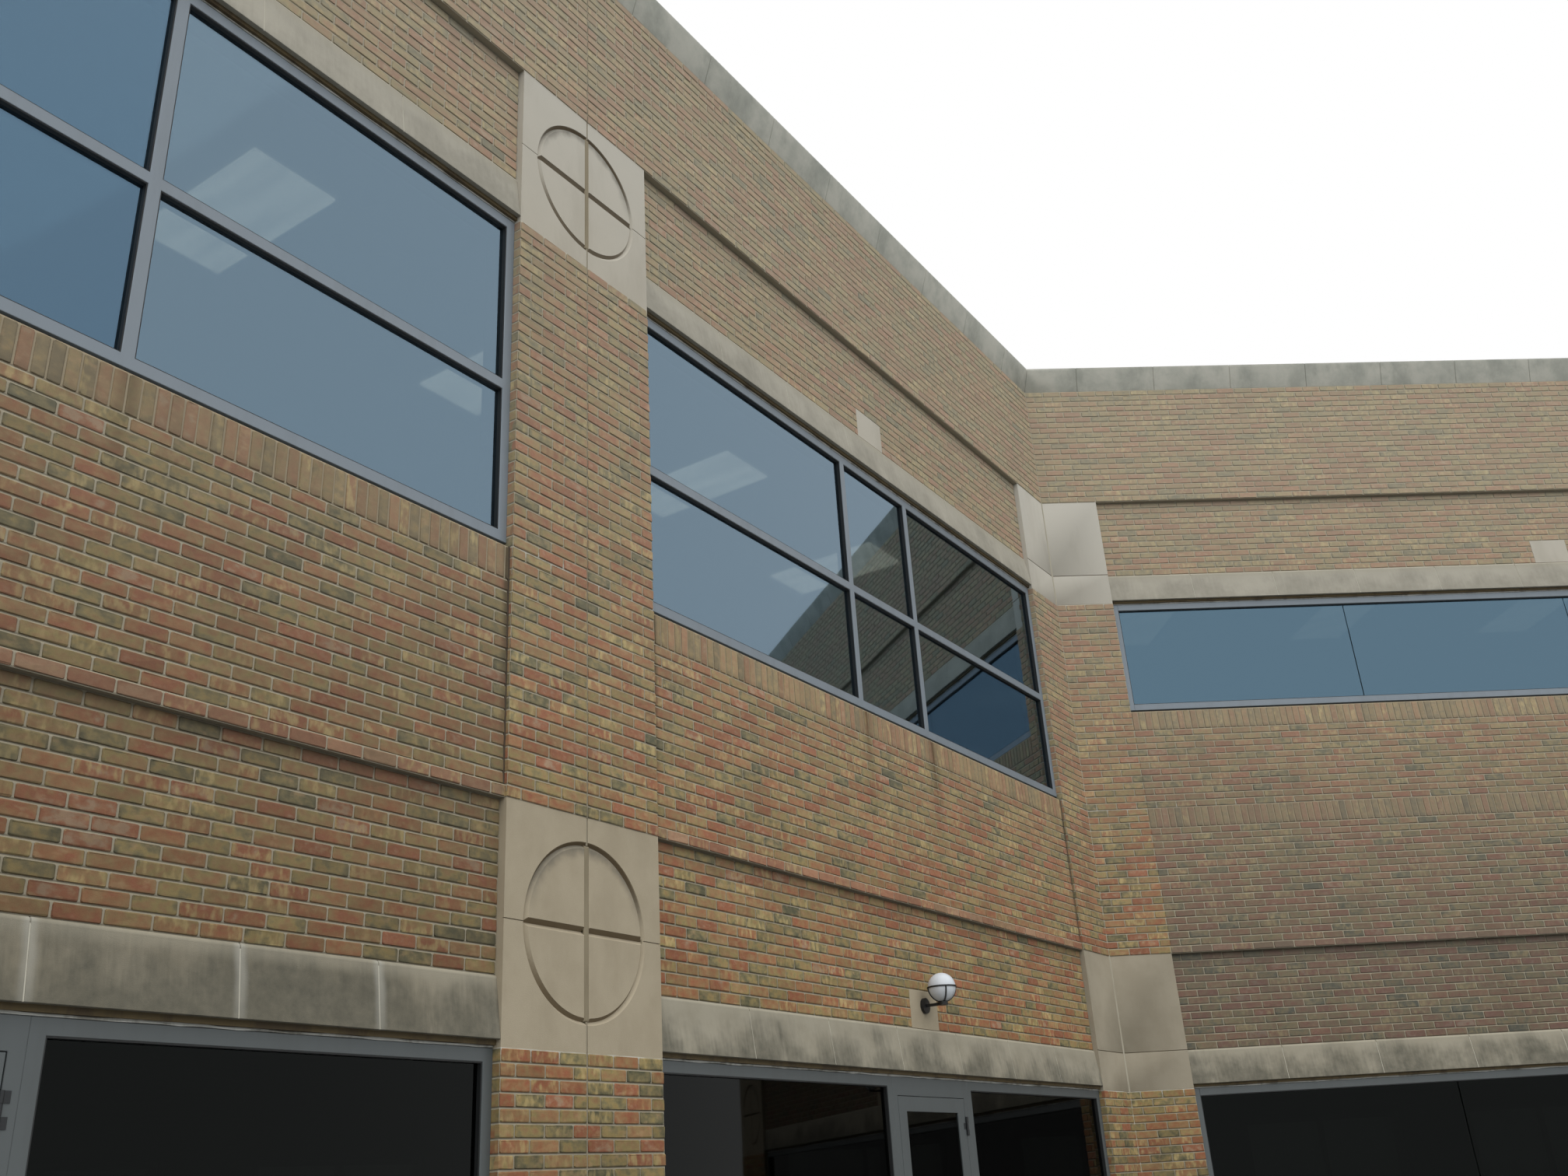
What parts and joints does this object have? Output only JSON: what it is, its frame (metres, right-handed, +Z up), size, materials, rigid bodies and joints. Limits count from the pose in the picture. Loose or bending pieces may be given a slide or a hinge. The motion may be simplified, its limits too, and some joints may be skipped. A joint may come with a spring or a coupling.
{
  "type": "hospital building",
  "caption": "Two-storey brick hospital building of two wings meeting at an angle, with stone bands, circle panels, window strips and glazed entrance doors.",
  "frame": {"origin": "middle of the building's bounding box at ground level", "axes": "+X along the entrance wing's front to the right as seen from outside, +Y from the front into the building, +Z up"},
  "size_m": [29.3864, 18.646, 10.157],
  "materials": {
    "brick": "rough mixed-colour brick in buff, orange, olive and brown with pale joints",
    "cast_stone": "smooth warm grey cast stone with grey streaks",
    "concrete": "plain concrete",
    "rusted_steel": "brown painted steel plate, rusting",
    "sealant": "light uneven sealant",
    "dark_metal": "dark satin metal",
    "black_metal": "black satin paint",
    "satin_steel": "satin steel",
    "anodised_aluminium": "clear anodised, satin and slightly chalked",
    "window_glass": "clear grey-blue glass",
    "dark_glass": "dark tinted glass",
    "opal_globe": "white opal globe",
    "roofing": "dark roofing sheet",
    "ceiling_board": "white ceiling board",
    "light_panel": "white diffuser panel"
  },
  "bodies": {
    "structure": {"accent_blocks": "cast_stone", "ceiling_lights": "light_panel", "circle_panels": "cast_stone", "corner_panels": "cast_stone", "corner_piers": "brick", "door_frames": "anodised_aluminium", "end_wall_entrance_wing": "brick", "end_wall_strip_wing": "brick", "front_coping": "cast_stone", "front_parapets": "brick", "front_piers": "brick", "frontage_kerbs": "concrete", "ground_floor": "concrete", "head_sealant": "sealant", "light_brackets": "black_metal", "light_globes": "opal_globe", "lintel_angles": "rusted_steel", "post_hinges": "dark_metal", "rear_lintels": "cast_stone", "rear_wall_entrance_wing": "brick", "rear_wall_strip_wing": "brick", "rear_window_frames": "anodised_aluminium", "rear_window_glass": "window_glass", "recess_walls": "brick", "roof_slab": "roofing", "side_coping": "cast_stone", "side_light_frames": "anodised_aluminium", "side_light_glass": "dark_glass", "sill_flashings": "dark_metal", "spandrel_walls": "brick", "stone_lintels": "cast_stone", "strip_window_frames": "anodised_aluminium", "strip_window_glass": "window_glass", "upper_ceiling": "ceiling_board", "upper_floor": "concrete", "upper_window_frames": "anodised_aluminium", "upper_window_glass": "window_glass"},
    "door_1": {"door_1_glass": "dark_glass", "door_1_handles": "satin_steel", "door_1_hinges": "dark_metal", "door_1_leaf": "anodised_aluminium"},
    "door_2": {"door_2_glass": "dark_glass", "door_2_handles": "satin_steel", "door_2_hinges": "dark_metal", "door_2_leaf": "anodised_aluminium"}
  },
  "joints": [
    {"name": "door_1_hinge", "type": "hinge", "parent": "structure", "child": "door_1", "pos_m": [-3.00152, 0.28396, 1.18], "axis": [0, 0, 1], "range_deg": [0, 100]},
    {"name": "door_2_hinge", "type": "hinge", "parent": "structure", "child": "door_2", "pos_m": [-10.11352, 0.28396, 1.18], "axis": [0, 0, 1], "range_deg": [0, 100]}
  ]
}
